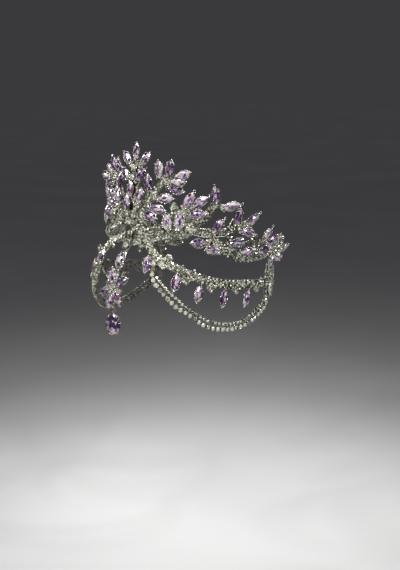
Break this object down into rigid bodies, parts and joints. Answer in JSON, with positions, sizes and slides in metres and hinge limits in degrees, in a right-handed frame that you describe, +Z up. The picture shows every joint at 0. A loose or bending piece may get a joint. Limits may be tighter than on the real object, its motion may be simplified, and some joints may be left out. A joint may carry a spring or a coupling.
{
  "type": "bridal crown",
  "caption": "Bridal crown with sprays of marquise stones on crystal bands, a forehead drop, and side strands with drops and cup chains.",
  "frame": {"origin": "middle of the head seat, level with the lowest edge of the band at the wearer's temples", "axes": "+Z up, -Y to the wearer's front, +X to the wearer's left"},
  "size_m": [0.1806, 0.1825, 0.1791],
  "materials": {
    "silver_metal": "polished cast metal in a warm silver tone",
    "lilac_stone": "cut glass stone in lilac to purple",
    "clear_stone": "cut clear crystal"
  },
  "bodies": {
    "crown": {"crown_frame": "silver_metal", "crown_centre_stones": "lilac_stone", "crown_centre_crystals": "clear_stone", "frontlet_frame": "silver_metal", "frontlet_stones": "lilac_stone", "frontlet_crystals": "clear_stone", "drop_ring": "silver_metal", "left_peak_stones": "lilac_stone", "left_front_stones": "lilac_stone", "left_curl_stones": "lilac_stone", "left_side_stones": "lilac_stone", "left_scroll_stones": "lilac_stone", "left_middle_stones": "lilac_stone", "left_hem_stones": "lilac_stone", "left_back_stones": "lilac_stone", "left_tail_stones": "lilac_stone", "right_peak_stones": "lilac_stone", "right_front_stones": "lilac_stone", "right_curl_stones": "lilac_stone", "right_side_stones": "lilac_stone", "right_scroll_stones": "lilac_stone", "right_middle_stones": "lilac_stone", "right_hem_stones": "lilac_stone", "right_back_stones": "lilac_stone", "right_tail_stones": "lilac_stone", "left_strand": "silver_metal", "left_strand_crystal": "clear_stone", "left_strap": "silver_metal", "left_strap_stone": "clear_stone", "left_outer_chain": "silver_metal", "left_inner_chain": "silver_metal", "right_strand": "silver_metal", "right_strand_crystal": "clear_stone", "right_strap": "silver_metal", "right_strap_stone": "clear_stone", "right_outer_chain": "silver_metal", "right_inner_chain": "silver_metal", "left_drop_1": "silver_metal", "left_drop_2": "silver_metal", "left_drop_3": "silver_metal", "left_drop_4": "silver_metal", "left_drop_5": "silver_metal", "left_drop_stone_1": "lilac_stone", "left_drop_stone_2": "lilac_stone", "left_drop_stone_3": "lilac_stone", "left_drop_stone_4": "lilac_stone", "left_drop_stone_5": "lilac_stone", "right_drop_1": "silver_metal", "right_drop_2": "silver_metal", "right_drop_3": "silver_metal", "right_drop_4": "silver_metal", "right_drop_5": "silver_metal", "right_drop_stone_1": "lilac_stone", "right_drop_stone_2": "lilac_stone", "right_drop_stone_3": "lilac_stone", "right_drop_stone_4": "lilac_stone", "right_drop_stone_5": "lilac_stone"},
    "drop": {"drop_setting": "silver_metal", "drop_stone": "lilac_stone"}
  },
  "joints": [
    {"name": "drop_swing", "type": "hinge", "parent": "crown", "child": "drop", "pos_m": [0, -0.112, -0.04376], "axis": [-0.9397, -0.342, 0], "range_deg": [-30, 75]}
  ]
}
